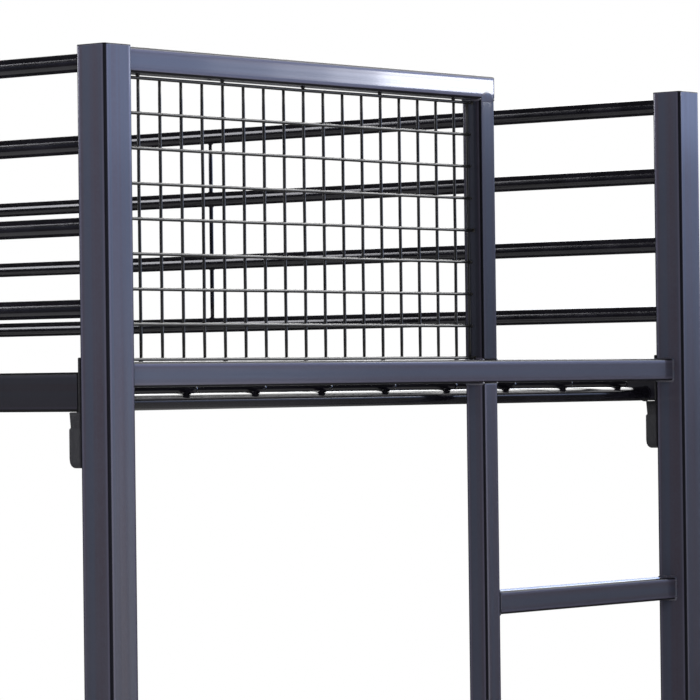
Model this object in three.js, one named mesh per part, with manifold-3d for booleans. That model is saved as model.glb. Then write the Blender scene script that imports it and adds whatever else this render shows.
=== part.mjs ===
// Steel bunk bed, one bunk over the other, with a ladder built into one end.
//
// Millimetres, +Z up. X runs along the bed with the ladder end at +X, Y runs across it with the
// front at -Y, and the origin is on the floor under the middle of the bed.
//
// Each end is a pair of square posts joined by welded square bars. Over the front part of the
// ladder end are a top rail and a welded wire panel. Behind them the way in over the rungs is open.
// Side rails hang between the ends in bolted brackets, carry the two decks, and have four round
// guard rails above them on the upper bunk.

import * as THREE from "three";
import { mergeVertices } from "three/addons/utils/BufferGeometryUtils.js";
import Module from "manifold-3d";

const wasm = await Module();
wasm.setup();

// ---- Overall size, over the posts ---------------------------------------------------------
const LENGTH = 1990;
const WIDTH = 985;
const HEIGHT = 1650;

// ---- Posts and their plugs ----------------------------------------------------------------
const POST = 38; // side of the square post tube
const POST_WALL = 1.5;
const POST_RADIUS = 3;
const CAP_DEPTH = 14; // how far a top cap reaches down into its post
const CAP_SKIN = 2; // thickness of a cap's top and skirt
const FOOT_HEIGHT = 8; // pad of a foot below the post
const FOOT_PLUG = 30; // plug of a foot inside the post
const PLUG_CLEARANCE = 0.3; // between a plug and the tube that it closes

// ---- Bars of the two ends -----------------------------------------------------------------
const BAR = 25; // side of the square tube of the rails, beams, stile and rungs
const BAR_WALL = 1.2;
const BAR_RADIUS = 2.5;
const LOWER_BEAM_Z = 339.5; // centre of the lower bunk's end beams
const RUNG_PITCH = 248.5;
const RUNG_COUNT = 3; // rungs between the two beams
const HEAD_RAIL_COUNT = 2; // rails at the head end level with the lowest rungs
const LADDER_CLEAR = 326; // between the stile and the back post
const RAIL_PLUG_DEPTH = 16; // plug in the open end of the ladder end's top rail

// ---- Side rails and their brackets --------------------------------------------------------
const SIDE_HEIGHT = 38;
const SIDE_DEPTH = 25;
const SIDE_WALL = 1.5;
const SIDE_RADIUS = 3;
const SIDE_TOP_RISE = 3; // side rail's top above the centre of the end beams
const PLATE = 2.5; // thickness of a bracket's plate against the post
const PLATE_RISE = 14; // plate above the side rail
const LUG_DROP = 54; // lug below the side rail
const LUG_THICK = 15;
const LUG_WAIST = 2; // depth of the notch across the lug
const LUG_WAIST_DROP = 15; // notch below the side rail
const LUG_CORNER = 6; // radius at the foot of the lug
const SPIGOT_LENGTH = 24; // stub of the bracket inside the side rail

// ---- Guard rails of the upper bunk --------------------------------------------------------
const GUARD = 18; // diameter
const GUARD_WALL = 1.2;
const GUARD_SIDES = 12;
const GUARD_COUNT = 4;
const GUARD_DROP = 15.5; // centre of the top guard rail below the top of the posts
const GUARD_RISE = 61; // centre of the lowest guard rail above the side rail
const TIE = 5; // diameter of the upright tie rods
const TIE_FROM_END = 733;
const TIE_CLEARANCE = 0.3; // round a tie rod in the rails that it passes through

// ---- Welded wire panels -------------------------------------------------------------------
const WIRE = 2.8;
const WIRE_SIDES = 8; // a multiple of 4, so that crossing wires lie flat against each other
const MESH_PITCH_ACROSS = 30.8; // between upright wires
const MESH_PITCH_UP = 34.5; // the level wires come as near to it as whole gaps allow
const MESH_TOP_GAP = 2.5; // from the top rail down to the top wire
const MESH_FOOT_GAP = 0.8; // from the beam up to the bottom wire
const MESH_POST_GAP = 4.6; // from the front post to the first wire
const MESH_STILE_GAP = 4.2; // from the stile to the closing wire
const TACK_EVERY = 4; // one wire in so many reaches the frame and is welded to it

// ---- Decks --------------------------------------------------------------------------------
const CROSS = 16; // diameter of the cross tubes
const CROSS_WALL = 1.2;
const CROSS_SIDES = 12;
const CROSS_COUNT = 5;
const CROSS_SETBACK = 25; // centre of an end cross tube inside the posts
const ROD = 8; // thickness of the lengthwise rods
const ROD_SIDES = 8;
const ROD_COUNT = 9;
const ROD_PITCH = 104;
const ROD_OVERHANG = 12; // rod past the centre of the end cross tube

// ---- Places worked out from those sizes ---------------------------------------------------
const POST_X = (LENGTH - POST) / 2; // centre of the posts
const POST_Y = (WIDTH - POST) / 2;
const INNER_X = LENGTH / 2 - POST; // faces of the posts that look along the bed
const INNER_Y = WIDTH / 2 - POST; // faces of the posts that look across the bed
const BAR_X = INNER_X + BAR / 2; // bars are flush with the inner faces of the posts
const TOP_RAIL_Z = HEIGHT - BAR / 2;
const UPPER_BEAM_Z = LOWER_BEAM_Z + (RUNG_COUNT + 1) * RUNG_PITCH;
const STILE_Y = INNER_Y - LADDER_CLEAR - BAR / 2;
const SIDE_Y = (WIDTH - SIDE_DEPTH) / 2; // side rails are flush with the outside of the posts
const TIE_X = LENGTH / 2 - TIE_FROM_END;

// ---- Finishes -----------------------------------------------------------------------------
const frameFinish = new THREE.MeshStandardMaterial({ color: 0x4b4c60, roughness: 0.45, metalness: 0.4 });
const sideFinish = new THREE.MeshStandardMaterial({ color: 0x2b2c34, roughness: 0.5, metalness: 0.3 });
const guardFinish = new THREE.MeshStandardMaterial({ color: 0x24242b, roughness: 0.2, metalness: 0.5 });
const wireFinish = new THREE.MeshStandardMaterial({ color: 0x1a1a1e, roughness: 0.35, metalness: 0.6 });
const deckFinish = new THREE.MeshStandardMaterial({ color: 0x2a2a32, roughness: 0.25, metalness: 0.5 });
const bracketFinish = new THREE.MeshStandardMaterial({ color: 0x1c1c20, roughness: 0.6, metalness: 0.0 });
const plugFinish = new THREE.MeshStandardMaterial({ color: 0x2a2a30, roughness: 0.7, metalness: 0.0 });

const bed = new THREE.Group();

// ---- Geometry helpers ---------------------------------------------------------------------

/** Adds a named piece to the bed. */
function piece(name, geometry, finish, x = 0, y = 0, z = 0) {
  const mesh = new THREE.Mesh(geometry, finish);
  mesh.name = name;
  mesh.position.set(x, y, z);
  bed.add(mesh);
  return mesh;
}

/** Adds a rectangle with rounded corners, centred on the origin, to a shape or a hole's path. */
function roundedRectangle(path, width, height, radius) {
  const w = width / 2;
  const h = height / 2;
  const r = Math.min(radius, w * 0.98, h * 0.98);
  path.moveTo(-w + r, -h);
  path.lineTo(w - r, -h);
  path.absarc(w - r, -h + r, r, -Math.PI / 2, 0, false);
  path.lineTo(w, h - r);
  path.absarc(w - r, h - r, r, 0, Math.PI / 2, false);
  path.lineTo(-w + r, h);
  path.absarc(-w + r, h - r, r, Math.PI / 2, Math.PI, false);
  path.lineTo(-w, -h + r);
  path.absarc(-w + r, -h + r, r, Math.PI, Math.PI * 1.5, false);
  return path;
}

/** A closed polygon round a circle, touching it at the middle of each side, one side facing down. */
function polygonRound(path, diameter, sides, across, up) {
  const reach = diameter / 2 / Math.cos(Math.PI / sides);
  for (let i = 0; i < sides; i++) {
    const angle = -Math.PI / 2 + ((i + 0.5) * 2 * Math.PI) / sides;
    const x = across + reach * Math.cos(angle);
    const y = up + reach * Math.sin(angle);
    if (i === 0) path.moveTo(x, y);
    else path.lineTo(x, y);
  }
  path.closePath();
  return path;
}

/** Extrudes a shape along Z with its middle at the origin. */
function extrude(shape, length, curveSegments = 1) {
  const geometry = new THREE.ExtrudeGeometry(shape, {
    depth: length,
    steps: 1,
    bevelEnabled: false,
    curveSegments,
  });
  return geometry.translate(0, 0, -length / 2);
}

/** Turns something made along Z to lie along X or Y, with its section's height upright. */
const turn = {
  X: (geometry) => geometry.rotateZ(Math.PI / 2).rotateY(Math.PI / 2),
  Y: (geometry) => geometry.rotateX(Math.PI / 2),
  Z: (geometry) => geometry,
};

/** A rectangular tube along an axis: width lies across it, height is upright. */
function boxTube(axis, length, width, height, wall, radius) {
  const shape = roundedRectangle(new THREE.Shape(), width, height, radius);
  const inside = Math.max(radius - wall, 0.5);
  shape.holes.push(roundedRectangle(new THREE.Path(), width - 2 * wall, height - 2 * wall, inside));
  return turn[axis](extrude(shape, length));
}

/** A round tube along an axis, with its centre line across and up from that axis. */
function roundTube(axis, length, diameter, wall, sides, across = 0, up = 0) {
  const shape = polygonRound(new THREE.Shape(), diameter, sides, across, up);
  shape.holes.push(polygonRound(new THREE.Path(), diameter - 2 * wall, sides, across, up));
  return turn[axis](extrude(shape, length));
}

/** A round or many-sided rod along an axis, with its centre line across and up from that axis. */
function rod(axis, length, diameter, sides, across = 0, up = 0) {
  return turn[axis](extrude(polygonRound(new THREE.Shape(), diameter, sides, across, up), length));
}

/** A plain block between two corners. */
function block(low, high) {
  const size = high.map((value, i) => value - low[i]);
  const middle = high.map((value, i) => (value + low[i]) / 2);
  return new THREE.BoxGeometry(...size).translate(...middle);
}

/** A length to a millionth, so that flats which touch lie in exactly the same plane. */
function exact(length) {
  return Math.round(length * 1e6) / 1e6;
}

/** A solid for joining and cutting, from a closed geometry. */
function solid(geometry) {
  const bare = geometry.clone();
  bare.deleteAttribute("normal");
  bare.deleteAttribute("uv");
  const merged = mergeVertices(bare, 1e-4);
  return new wasm.Manifold(
    new wasm.Mesh({
      numProp: 3,
      vertProperties: new Float32Array(merged.attributes.position.array).map(exact),
      triVerts: new Uint32Array(merged.index.array),
    })
  );
}

/** The geometry of a solid. */
function geometryOf(body) {
  const mesh = body.getMesh();
  const geometry = new THREE.BufferGeometry();
  geometry.setAttribute("position", new THREE.BufferAttribute(new Float32Array(mesh.vertProperties), 3));
  geometry.setIndex(new THREE.BufferAttribute(new Uint32Array(mesh.triVerts), 1));
  geometry.computeVertexNormals();
  return geometry;
}

/** Joins geometries into one body. */
function join(geometries) {
  return geometryOf(geometries.map(solid).reduce((whole, next) => whole.add(next)));
}

/** Evenly spaced values about zero. */
function spread(count, pitch) {
  return Array.from({ length: count }, (_, i) => (i - (count - 1) / 2) * pitch);
}

const ENDS = [
  { name: "ladder", sign: 1 },
  { name: "head", sign: -1 },
];
const SIDES = [
  { name: "front", sign: -1 },
  { name: "back", sign: 1 },
];
const BUNKS = [
  { name: "upper", beamZ: UPPER_BEAM_Z },
  { name: "lower", beamZ: LOWER_BEAM_Z },
];

// ---- Posts, caps and feet -----------------------------------------------------------------

/** An upright block with a rounded section, standing on a given height. */
function roundedBlock(side, radius, low, high) {
  const shape = roundedRectangle(new THREE.Shape(), side, side, radius);
  return extrude(shape, high - low).translate(0, 0, (low + high) / 2);
}

/** The section of a plug that fits a square tube: its side and its corner radius. */
function plugSection(tubeSide, tubeWall, tubeRadius) {
  const gap = tubeWall + PLUG_CLEARANCE;
  return [tubeSide - 2 * gap, Math.max(tubeRadius - gap, 0.4)];
}

/** A plug with a skirt that fits inside a square tube and ends flush with it. */
function skirtedPlug(tubeSide, tubeWall, tubeRadius, depth) {
  const [side, radius] = plugSection(tubeSide, tubeWall, tubeRadius);
  const body = solid(roundedBlock(side, radius, -depth, 0));
  const inner = side / 2 - CAP_SKIN;
  const hollow = solid(block([-inner, -inner, -depth - 1], [inner, inner, -CAP_SKIN]));
  return geometryOf(body.subtract(hollow));
}

/** A foot: a pad as wide as the post with a hollow plug that pushes up into it. */
function foot() {
  const [side, radius] = plugSection(POST, POST_WALL, POST_RADIUS);
  const chamfer = FOOT_HEIGHT / 4;
  const half = POST / 2;
  const outline = new THREE.Shape();
  outline.moveTo(-half + chamfer, 0);
  outline.lineTo(half - chamfer, 0);
  outline.lineTo(half, chamfer);
  outline.lineTo(half, FOOT_HEIGHT);
  outline.lineTo(-half, FOOT_HEIGHT);
  outline.lineTo(-half, chamfer);
  outline.closePath();
  const along = extrude(outline, POST).rotateX(Math.PI / 2);
  const across = along.clone().rotateZ(Math.PI / 2);
  const pad = solid(along).intersect(solid(across));
  const stem = solid(roundedBlock(side, radius, FOOT_HEIGHT - 1, FOOT_HEIGHT + FOOT_PLUG));
  const core = side / 2 - CAP_SKIN;
  const floor = FOOT_HEIGHT + 1;
  const hollow = solid(block([-core, -core, floor], [core, core, floor + FOOT_PLUG]));
  return geometryOf(pad.add(stem.subtract(hollow)));
}

const postLength = HEIGHT - FOOT_HEIGHT;
for (const end of ENDS) {
  for (const side of SIDES) {
    const x = end.sign * POST_X;
    const y = side.sign * POST_Y;
    const where = `${end.name}_${side.name}`;
    const tube = boxTube("Z", postLength, POST, POST, POST_WALL, POST_RADIUS);
    piece(`post_${where}`, tube, frameFinish, x, y, FOOT_HEIGHT + postLength / 2);
    const cap = skirtedPlug(POST, POST_WALL, POST_RADIUS, CAP_DEPTH);
    piece(`post_cap_${where}`, cap, plugFinish, x, y, HEIGHT);
    piece(`foot_${where}`, foot(), plugFinish, x, y, 0);
  }
}

// ---- Bars of the ends ---------------------------------------------------------------------

/** A square bar across the bed between two Y values. */
function crossBar(name, end, fromY, toY, z) {
  const tube = boxTube("Y", toY - fromY, BAR, BAR, BAR_WALL, BAR_RADIUS);
  return piece(name, tube, frameFinish, end.sign * BAR_X, (fromY + toY) / 2, z);
}

/** An upright square bar between two heights. */
function uprightBar(name, end, y, fromZ, toZ) {
  const tube = boxTube("Z", toZ - fromZ, BAR, BAR, BAR_WALL, BAR_RADIUS);
  return piece(name, tube, frameFinish, end.sign * BAR_X, y, (fromZ + toZ) / 2);
}

const [ladderEnd, headEnd] = ENDS;
const stileBack = STILE_Y + BAR / 2; // face of the stile towards the ladder's steps
const stileFront = STILE_Y - BAR / 2;
const beamTop = UPPER_BEAM_Z + BAR / 2;
const topRailUnderside = HEIGHT - BAR;

for (const end of ENDS) {
  for (const bunk of BUNKS) {
    crossBar(`${end.name}_beam_${bunk.name}`, end, -INNER_Y, INNER_Y, bunk.beamZ);
  }
}

crossBar("ladder_top_rail", ladderEnd, -INNER_Y, stileBack, TOP_RAIL_Z);
const railPlug = skirtedPlug(BAR, BAR_WALL, BAR_RADIUS, RAIL_PLUG_DEPTH).rotateX(-Math.PI / 2);
piece("ladder_top_rail_plug", railPlug, plugFinish, BAR_X, stileBack, TOP_RAIL_Z);
uprightBar("ladder_stile_upper", ladderEnd, STILE_Y, beamTop, topRailUnderside);
uprightBar("ladder_stile_lower", ladderEnd, STILE_Y, LOWER_BEAM_Z + BAR / 2, UPPER_BEAM_Z - BAR / 2);
for (let i = 1; i <= RUNG_COUNT; i++) {
  crossBar(`ladder_rung_${i}`, ladderEnd, stileBack, INNER_Y, LOWER_BEAM_Z + i * RUNG_PITCH);
}

crossBar("head_top_rail", headEnd, -INNER_Y, INNER_Y, TOP_RAIL_Z);
for (let i = 1; i <= HEAD_RAIL_COUNT; i++) {
  crossBar(`head_lower_rail_${i}`, headEnd, -INNER_Y, INNER_Y, LOWER_BEAM_Z + i * RUNG_PITCH);
}

// ---- Welded wire panels -------------------------------------------------------------------
// Upright wires lie behind and level wires in front, welded where they cross, flat on flat. Both
// layers meet in the middle plane of the bars. One wire in four runs on to the frame at both ends
// and is welded to it.

/** Heights of the level wires between the beam and the top rail. */
function meshRows() {
  const low = beamTop + MESH_FOOT_GAP + WIRE / 2;
  const high = topRailUnderside - MESH_TOP_GAP - WIRE / 2;
  const gaps = Math.max(1, Math.round((high - low) / MESH_PITCH_UP));
  return Array.from({ length: gaps + 1 }, (_, i) => low + ((high - low) * i) / gaps);
}

/** A wire panel about X = 0, between two faces of an end's frame, with upright wires at given Y. */
function wirePanel(end, fromY, toY, columns) {
  const rows = meshRows();
  const half = WIRE / 2;
  const uprights = columns.map((y, i) => {
    const tacked = i % TACK_EVERY === 1;
    const low = tacked ? beamTop : rows[0] - half;
    const high = tacked ? topRailUnderside : rows[rows.length - 1] + half;
    const straight = rod("Z", high - low, WIRE, WIRE_SIDES, -end.sign * half, y);
    return straight.translate(0, 0, (low + high) / 2);
  });
  const levels = rows.map((z, i) => {
    const tacked = i % TACK_EVERY === 0;
    const low = tacked ? fromY : columns[0] - half;
    const high = tacked ? toY : columns[columns.length - 1] + half;
    const straight = rod("Y", high - low, WIRE, WIRE_SIDES, end.sign * half, z);
    return straight.translate(0, (low + high) / 2, 0);
  });
  return join([...uprights, ...levels]);
}

/** Upright wires of the ladder end: full bays from the front post, and one closing wire. */
function ladderColumns() {
  const first = -INNER_Y + MESH_POST_GAP + WIRE / 2;
  const last = stileFront - MESH_STILE_GAP - WIRE / 2;
  const bays = Math.floor((last - first - 2 * WIRE) / MESH_PITCH_ACROSS);
  const columns = Array.from({ length: bays + 1 }, (_, i) => first + i * MESH_PITCH_ACROSS);
  return [...columns, last];
}

/** Upright wires of the head end: full bays about the middle of the bed. */
function headColumns() {
  const room = 2 * (INNER_Y - MESH_POST_GAP) - WIRE;
  return spread(Math.floor(room / MESH_PITCH_ACROSS) + 1, MESH_PITCH_ACROSS);
}

const ladderPanel = wirePanel(ladderEnd, -INNER_Y, stileFront, ladderColumns());
piece("ladder_wire_panel", ladderPanel, wireFinish, BAR_X);
const headPanel = wirePanel(headEnd, -INNER_Y, INNER_Y, headColumns());
piece("head_wire_panel", headPanel, wireFinish, -BAR_X);

// ---- Side rails and brackets --------------------------------------------------------------

/** The bracket's outline: X away from the post's face, Y up from the underside of the side rail. */
function bracketOutline() {
  const corner = Math.min(LUG_CORNER, LUG_THICK * 0.6);
  const step = 1.5; // height of the notch's lower shoulder
  const outline = new THREE.Shape();
  outline.moveTo(0, SIDE_HEIGHT + PLATE_RISE);
  outline.lineTo(0, -LUG_DROP);
  outline.lineTo(LUG_THICK - corner, -LUG_DROP + corner / 3);
  outline.quadraticCurveTo(LUG_THICK, -LUG_DROP + corner / 2, LUG_THICK, -LUG_DROP + corner * 1.6);
  outline.lineTo(LUG_THICK, -LUG_WAIST_DROP - step);
  outline.lineTo(LUG_THICK - LUG_WAIST, -LUG_WAIST_DROP);
  outline.lineTo(LUG_THICK - LUG_WAIST / 4, 0);
  outline.lineTo(PLATE, 0);
  outline.lineTo(PLATE, SIDE_HEIGHT + PLATE_RISE);
  outline.closePath();
  return outline;
}

/** A mirrored geometry, along X, with its faces still looking outwards. */
function mirrorX(geometry) {
  const index = geometry.scale(-1, 1, 1).index.array;
  for (let i = 0; i < index.length; i += 3) {
    [index[i], index[i + 1]] = [index[i + 1], index[i]];
  }
  return geometry;
}

/** A bracket with its spigot, for the head end; the side rail's centre is to one side of it. */
function bracket(sideSign) {
  const profile = extrude(bracketOutline(), POST, 4).rotateX(Math.PI / 2);
  const gap = SIDE_WALL + PLUG_CLEARANCE;
  const section = roundedRectangle(
    new THREE.Shape(),
    SIDE_DEPTH - 2 * gap,
    SIDE_HEIGHT - 2 * gap,
    Math.max(SIDE_RADIUS - gap, 0.4)
  );
  const root = PLATE / 2;
  const spigot = turn.X(extrude(section, SPIGOT_LENGTH + root));
  const outward = (sideSign * (POST - SIDE_DEPTH)) / 2;
  spigot.translate(PLATE + (SPIGOT_LENGTH - root) / 2, outward, SIDE_HEIGHT / 2);
  return join([profile, spigot]);
}

const sideLength = 2 * (INNER_X - PLATE);
for (const bunk of BUNKS) {
  const sideTop = bunk.beamZ + SIDE_TOP_RISE;
  const sideFoot = sideTop - SIDE_HEIGHT;
  for (const side of SIDES) {
    const tube = boxTube("X", sideLength, SIDE_DEPTH, SIDE_HEIGHT, SIDE_WALL, SIDE_RADIUS);
    const name = `side_rail_${bunk.name}_${side.name}`;
    piece(name, tube, sideFinish, 0, side.sign * SIDE_Y, sideTop - SIDE_HEIGHT / 2);
    for (const end of ENDS) {
      const shape = bracket(side.sign);
      const placed = end.sign > 0 ? mirrorX(shape) : shape;
      const label = `rail_bracket_${bunk.name}_${end.name}_${side.name}`;
      piece(label, placed, bracketFinish, end.sign * INNER_X, side.sign * POST_Y, sideFoot);
    }
  }
}

// ---- Guard rails and tie rods -------------------------------------------------------------

/** A guard rail, drilled where the tie rods pass through it. */
function guardRail(drilled) {
  const tube = roundTube("X", 2 * INNER_X, GUARD, GUARD_WALL, GUARD_SIDES);
  if (!drilled) return tube;
  const holes = [-TIE_X, TIE_X].map((x) =>
    solid(rod("Z", GUARD * 2, TIE + 2 * TIE_CLEARANCE, 8).translate(x, 0, 0))
  );
  return geometryOf(holes.reduce((whole, hole) => whole.subtract(hole), solid(tube)));
}

const guardTopZ = HEIGHT - GUARD_DROP;
const guardLowZ = UPPER_BEAM_Z + SIDE_TOP_RISE + GUARD_RISE;
const guardPitch = (guardTopZ - guardLowZ) / (GUARD_COUNT - 1);
const tieLength = guardTopZ - guardLowZ - GUARD; // from the top rail's underside to the lowest rail
for (const side of SIDES) {
  const y = side.sign * POST_Y;
  for (let i = 1; i <= GUARD_COUNT; i++) {
    const rail = guardRail(i > 1 && i < GUARD_COUNT);
    const z = guardTopZ - (i - 1) * guardPitch;
    piece(`guard_rail_${side.name}_${i}`, rail, guardFinish, 0, y, z);
  }
  for (const end of ENDS) {
    const name = `guard_tie_${side.name}_${end.name}`;
    piece(name, rod("Z", tieLength, TIE, 8), guardFinish, end.sign * TIE_X, y, (guardTopZ + guardLowZ) / 2);
  }
}

// ---- Decks --------------------------------------------------------------------------------

/** A deck about the plane where its lengthwise rods lie welded on its cross tubes, at Z = 0. */
function deck() {
  const reach = INNER_X - CROSS_SETBACK; // centre of the end cross tubes
  const width = WIDTH - 2 * SIDE_DEPTH;
  const tubes = spread(CROSS_COUNT, (2 * reach) / (CROSS_COUNT - 1)).map((x) =>
    roundTube("Y", width, CROSS, CROSS_WALL, CROSS_SIDES, x, -CROSS / 2)
  );
  const rods = spread(ROD_COUNT, ROD_PITCH).map((y) =>
    rod("X", 2 * (reach + ROD_OVERHANG), ROD, ROD_SIDES, y, ROD / 2)
  );
  return join([...tubes, ...rods]);
}

for (const bunk of BUNKS) {
  const sideFoot = bunk.beamZ + SIDE_TOP_RISE - SIDE_HEIGHT;
  piece(`deck_${bunk.name}`, deck(), deckFinish, 0, 0, sideFoot + CROSS);
}

export default bed;
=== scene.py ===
"""Steel bunk bed with a ladder built into one end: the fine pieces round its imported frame.

Metres, +Z up. X runs along the bed with the ladder end at +X, and Y across it with the front at
-Y. Every piece takes its place and overall size from the frame's own pieces, and adds what a drawn
tube lacks: rounded corners and cut ends, weld beads, round wires with their welds, and paint.
"""

import math

import bmesh
import bpy
import numpy as np
from mathutils import Matrix, Quaternion, Vector


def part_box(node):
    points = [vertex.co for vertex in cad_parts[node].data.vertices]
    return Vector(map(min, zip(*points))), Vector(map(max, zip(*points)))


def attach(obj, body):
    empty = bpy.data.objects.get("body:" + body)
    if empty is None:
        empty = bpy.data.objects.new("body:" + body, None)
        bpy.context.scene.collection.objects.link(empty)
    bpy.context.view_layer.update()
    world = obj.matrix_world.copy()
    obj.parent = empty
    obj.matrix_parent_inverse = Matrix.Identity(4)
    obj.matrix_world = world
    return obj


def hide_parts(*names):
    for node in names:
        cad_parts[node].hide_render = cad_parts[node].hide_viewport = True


bl_info = {
    "name": "Steel bunk bed",
    "version": (1, 0, 0),
    "blender": (4, 5, 0),
    "location": "3D View > Sidebar > Bunk bed",
    "description": "Fine pieces, paint and studio for a steel bunk bed with a ladder in one end",
    "category": "Object",
}

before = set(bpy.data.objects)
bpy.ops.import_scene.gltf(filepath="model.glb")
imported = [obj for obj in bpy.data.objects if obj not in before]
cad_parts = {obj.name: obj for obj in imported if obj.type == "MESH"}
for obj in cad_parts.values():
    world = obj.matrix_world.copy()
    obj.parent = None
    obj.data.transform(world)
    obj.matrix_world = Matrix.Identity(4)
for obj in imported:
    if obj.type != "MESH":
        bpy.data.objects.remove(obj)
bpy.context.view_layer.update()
MM = 0.001
ROOT = "root"

ENDS = {"ladder": 1, "head": -1}
SIDES = ("front", "back")
BUNKS = ("upper", "lower")
GUARD_ROWS = (1, 2, 3, 4)


# ---- Sizes and colours that a user would change ----


def number(name, description, default, top=1.0, **settings):
    """A plain number from nothing to a top value."""
    limits = {"min": 0.0, "max": top, **settings}
    return bpy.props.FloatProperty(name=name, description=description, default=default, **limits)


def length(name, description, millimetres, top=50.0):
    """A length kept in metres and shown with the scene's unit."""
    return number(name, description, millimetres * MM, top * MM, precision=4, unit="LENGTH")


def slider(name, description, default, top=1.0):
    """A number shown as a slider."""
    return number(name, description, default, top, subtype="FACTOR")


def swatch(name, description, default):
    """A linear colour without alpha."""
    looks = {"size": 3, "subtype": "COLOR", "min": 0.0, "max": 1.0}
    return bpy.props.FloatVectorProperty(
        name=name, description=description, default=default, **looks
    )


class BedTubes(bpy.types.PropertyGroup):
    """Walls and corner radii of the square tubes."""

    post_wall: length("Post wall", "Thickness of the posts' steel", 1.5)
    post_radius: length("Post corner", "Corner radius of the posts", 3.0)
    bar_wall: length("Bar wall", "Thickness of the rails, beams and rungs", 1.2)
    bar_radius: length("Bar corner", "Corner radius of the rails, beams and rungs", 2.5)
    side_wall: length("Side rail wall", "Thickness of the side rails' steel", 1.5)
    side_radius: length("Side rail corner", "Corner radius of the side rails", 3.0)
    round_wall: length("Round tube wall", "Thickness of the round tubes' steel", 1.2)
    cut_edge: length("Cut edge", "Rounding of a sawn tube end", 0.4)


class BedWelds(bpy.types.PropertyGroup):
    """Sizes of the weld beads and spots."""

    bead: length("Bead", "Leg of a weld bead beside a bar", 2.6)
    flush_bead: length("Flush bead", "Height of a bead ground flush with two faces", 0.35)
    ripple: slider("Ripple", "Depth of the ripples along a bead", 0.12)
    ripple_pitch: length("Ripple pitch", "Length of one ripple", 2.4)
    ring: length("Ring", "Leg of the bead round a guard rail's end", 3.2)
    spot: length("Spot", "Radius of a spot weld between two wires", 1.7)


class BedWires(bpy.types.PropertyGroup):
    """Sizes of the wire panels and of the decks' rods."""

    wire: length("Wire", "Diameter of the panels' bare wire", 2.8)
    wire_coat: length("Wire coat", "Thickness of the dip coat on the panels' wire", 0.25)
    pitch_across: length("Pitch across", "Distance between upright wires", 30.8, 200.0)
    pitch_up: length("Pitch up", "Distance between level wires, nearly", 34.5, 200.0)
    top_gap: length("Top gap", "From the top rail down to the top wire", 2.5)
    foot_gap: length("Foot gap", "From the beam up to the bottom wire", 0.8)
    post_gap: length("Post gap", "From the front post to the first wire", 4.6)
    stile_gap: length("Stile gap", "From the ladder's stile to the closing wire", 4.2)
    bow: length("Bow", "How far a wire strays from straight between its welds", 0.25)
    rod: length("Rod", "Diameter of the decks' lengthwise rods", 8.0)
    rod_pitch: length("Rod pitch", "Distance between the decks' rods", 104.0, 500.0)
    cross: length("Cross tube", "Diameter of the decks' cross tubes", 16.0)


class BedPaint(bpy.types.PropertyGroup):
    """Colours and gloss of the finishes."""

    frame_colour: swatch("Frame", "Powder coat of posts and bars", (0.0475, 0.0485, 0.070))
    side_colour: swatch("Side rails", "Powder coat of the side rails", (0.011, 0.011, 0.016))
    black: swatch("Black enamel", "Enamel of the guard rails and decks", (0.0055, 0.005, 0.008))
    wire_colour: swatch("Wire", "Dip coat of the wire panels", (0.009, 0.0085, 0.008))
    plastic: swatch("Plastic", "Moulded brackets, plugs and feet", (0.007, 0.007, 0.0085))
    weld_colour: swatch("Weld", "Bare metal of the bright welds", (0.42, 0.42, 0.45))
    frame_gloss: slider("Frame roughness", "Roughness of the frame's powder coat", 0.30)
    black_gloss: slider("Enamel roughness", "Roughness of the black enamel", 0.12)
    wire_gloss: slider("Wire roughness", "Roughness of the wires' dip coat", 0.28)
    plastic_gloss: slider("Plastic roughness", "Roughness of the moulded pieces", 0.52)


class BedStudio(bpy.types.PropertyGroup):
    """Camera, lamps and floor."""

    focal: number("Lens", "Focal length", 202.7046, 400.0, min=20.0, unit="CAMERA")
    sky: slider("Sky", "Strength of the studio's soft light from above", 0.20, 4.0)
    key: number("Key", "Power of the soft lamp off the ladder end", 42.0, 1000.0, unit="POWER")
    fill: number("Fill", "Power of the soft lamp behind the bed", 70.0, 1000.0, unit="POWER")
    card: slider("Cards", "Brightness of the cards that only the gloss mirrors", 8.0, 40.0)
    floor_colour: swatch("Floor", "Pale floor", (0.80, 0.80, 0.80))


# ---- Surfaces ----


class Skin:
    """Points, four-sided faces, a map in metres and a light mask value for part of a piece."""

    def __init__(self, points, quads, layout, wear):
        self.points = points
        self.quads = quads
        self.layout = layout
        self.wear = wear


def grid_skin(points, close_rows=True, close_columns=True, wear=0.0):
    """The surface through a grid of points: each face joins neighbours in a row and a column.

    The map is the distance run along the first row and down the first column, in metres. A closed
    skin with a negative volume, summed over tetrahedra from the origin, is turned to face outwards.
    """
    rows, columns = points.shape[:2]
    row = np.arange(rows if close_rows else rows - 1)
    column = np.arange(columns if close_columns else columns - 1)
    r, c = np.meshgrid(row, column, indexing="ij")
    corners = ((r, c), (r + 1, c), (r + 1, c + 1), (r, c + 1))
    quads = np.stack([i % rows * columns + j % columns for i, j in corners], axis=-1)
    quads = quads.reshape(-1, 4)
    across = np.linalg.norm(np.diff(points, axis=0, append=points[:1]), axis=-1).max(axis=1)
    along = np.linalg.norm(np.diff(points, axis=1, append=points[:, :1]), axis=-1).max(axis=0)
    u = np.concatenate([[0.0], np.cumsum(across)])
    v = np.concatenate([[0.0], np.cumsum(along)])
    layout = np.stack([np.stack([u[i], v[j]], axis=-1) for i, j in corners], axis=-2)
    layout = layout.reshape(-1, 4, 2)
    flat = points.reshape(-1, 3)
    a, b, d, e = (flat[quads[:, k]] - flat[0] for k in range(4))
    volume = (np.cross(a, b) * d).sum() + (np.cross(a, d) * e).sum()
    if volume < 0:
        quads = quads[:, ::-1]
        layout = layout[:, ::-1]
    light_values = np.broadcast_to(wear, (rows, columns)).reshape(-1)
    return Skin(flat, quads, layout, light_values)


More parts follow.
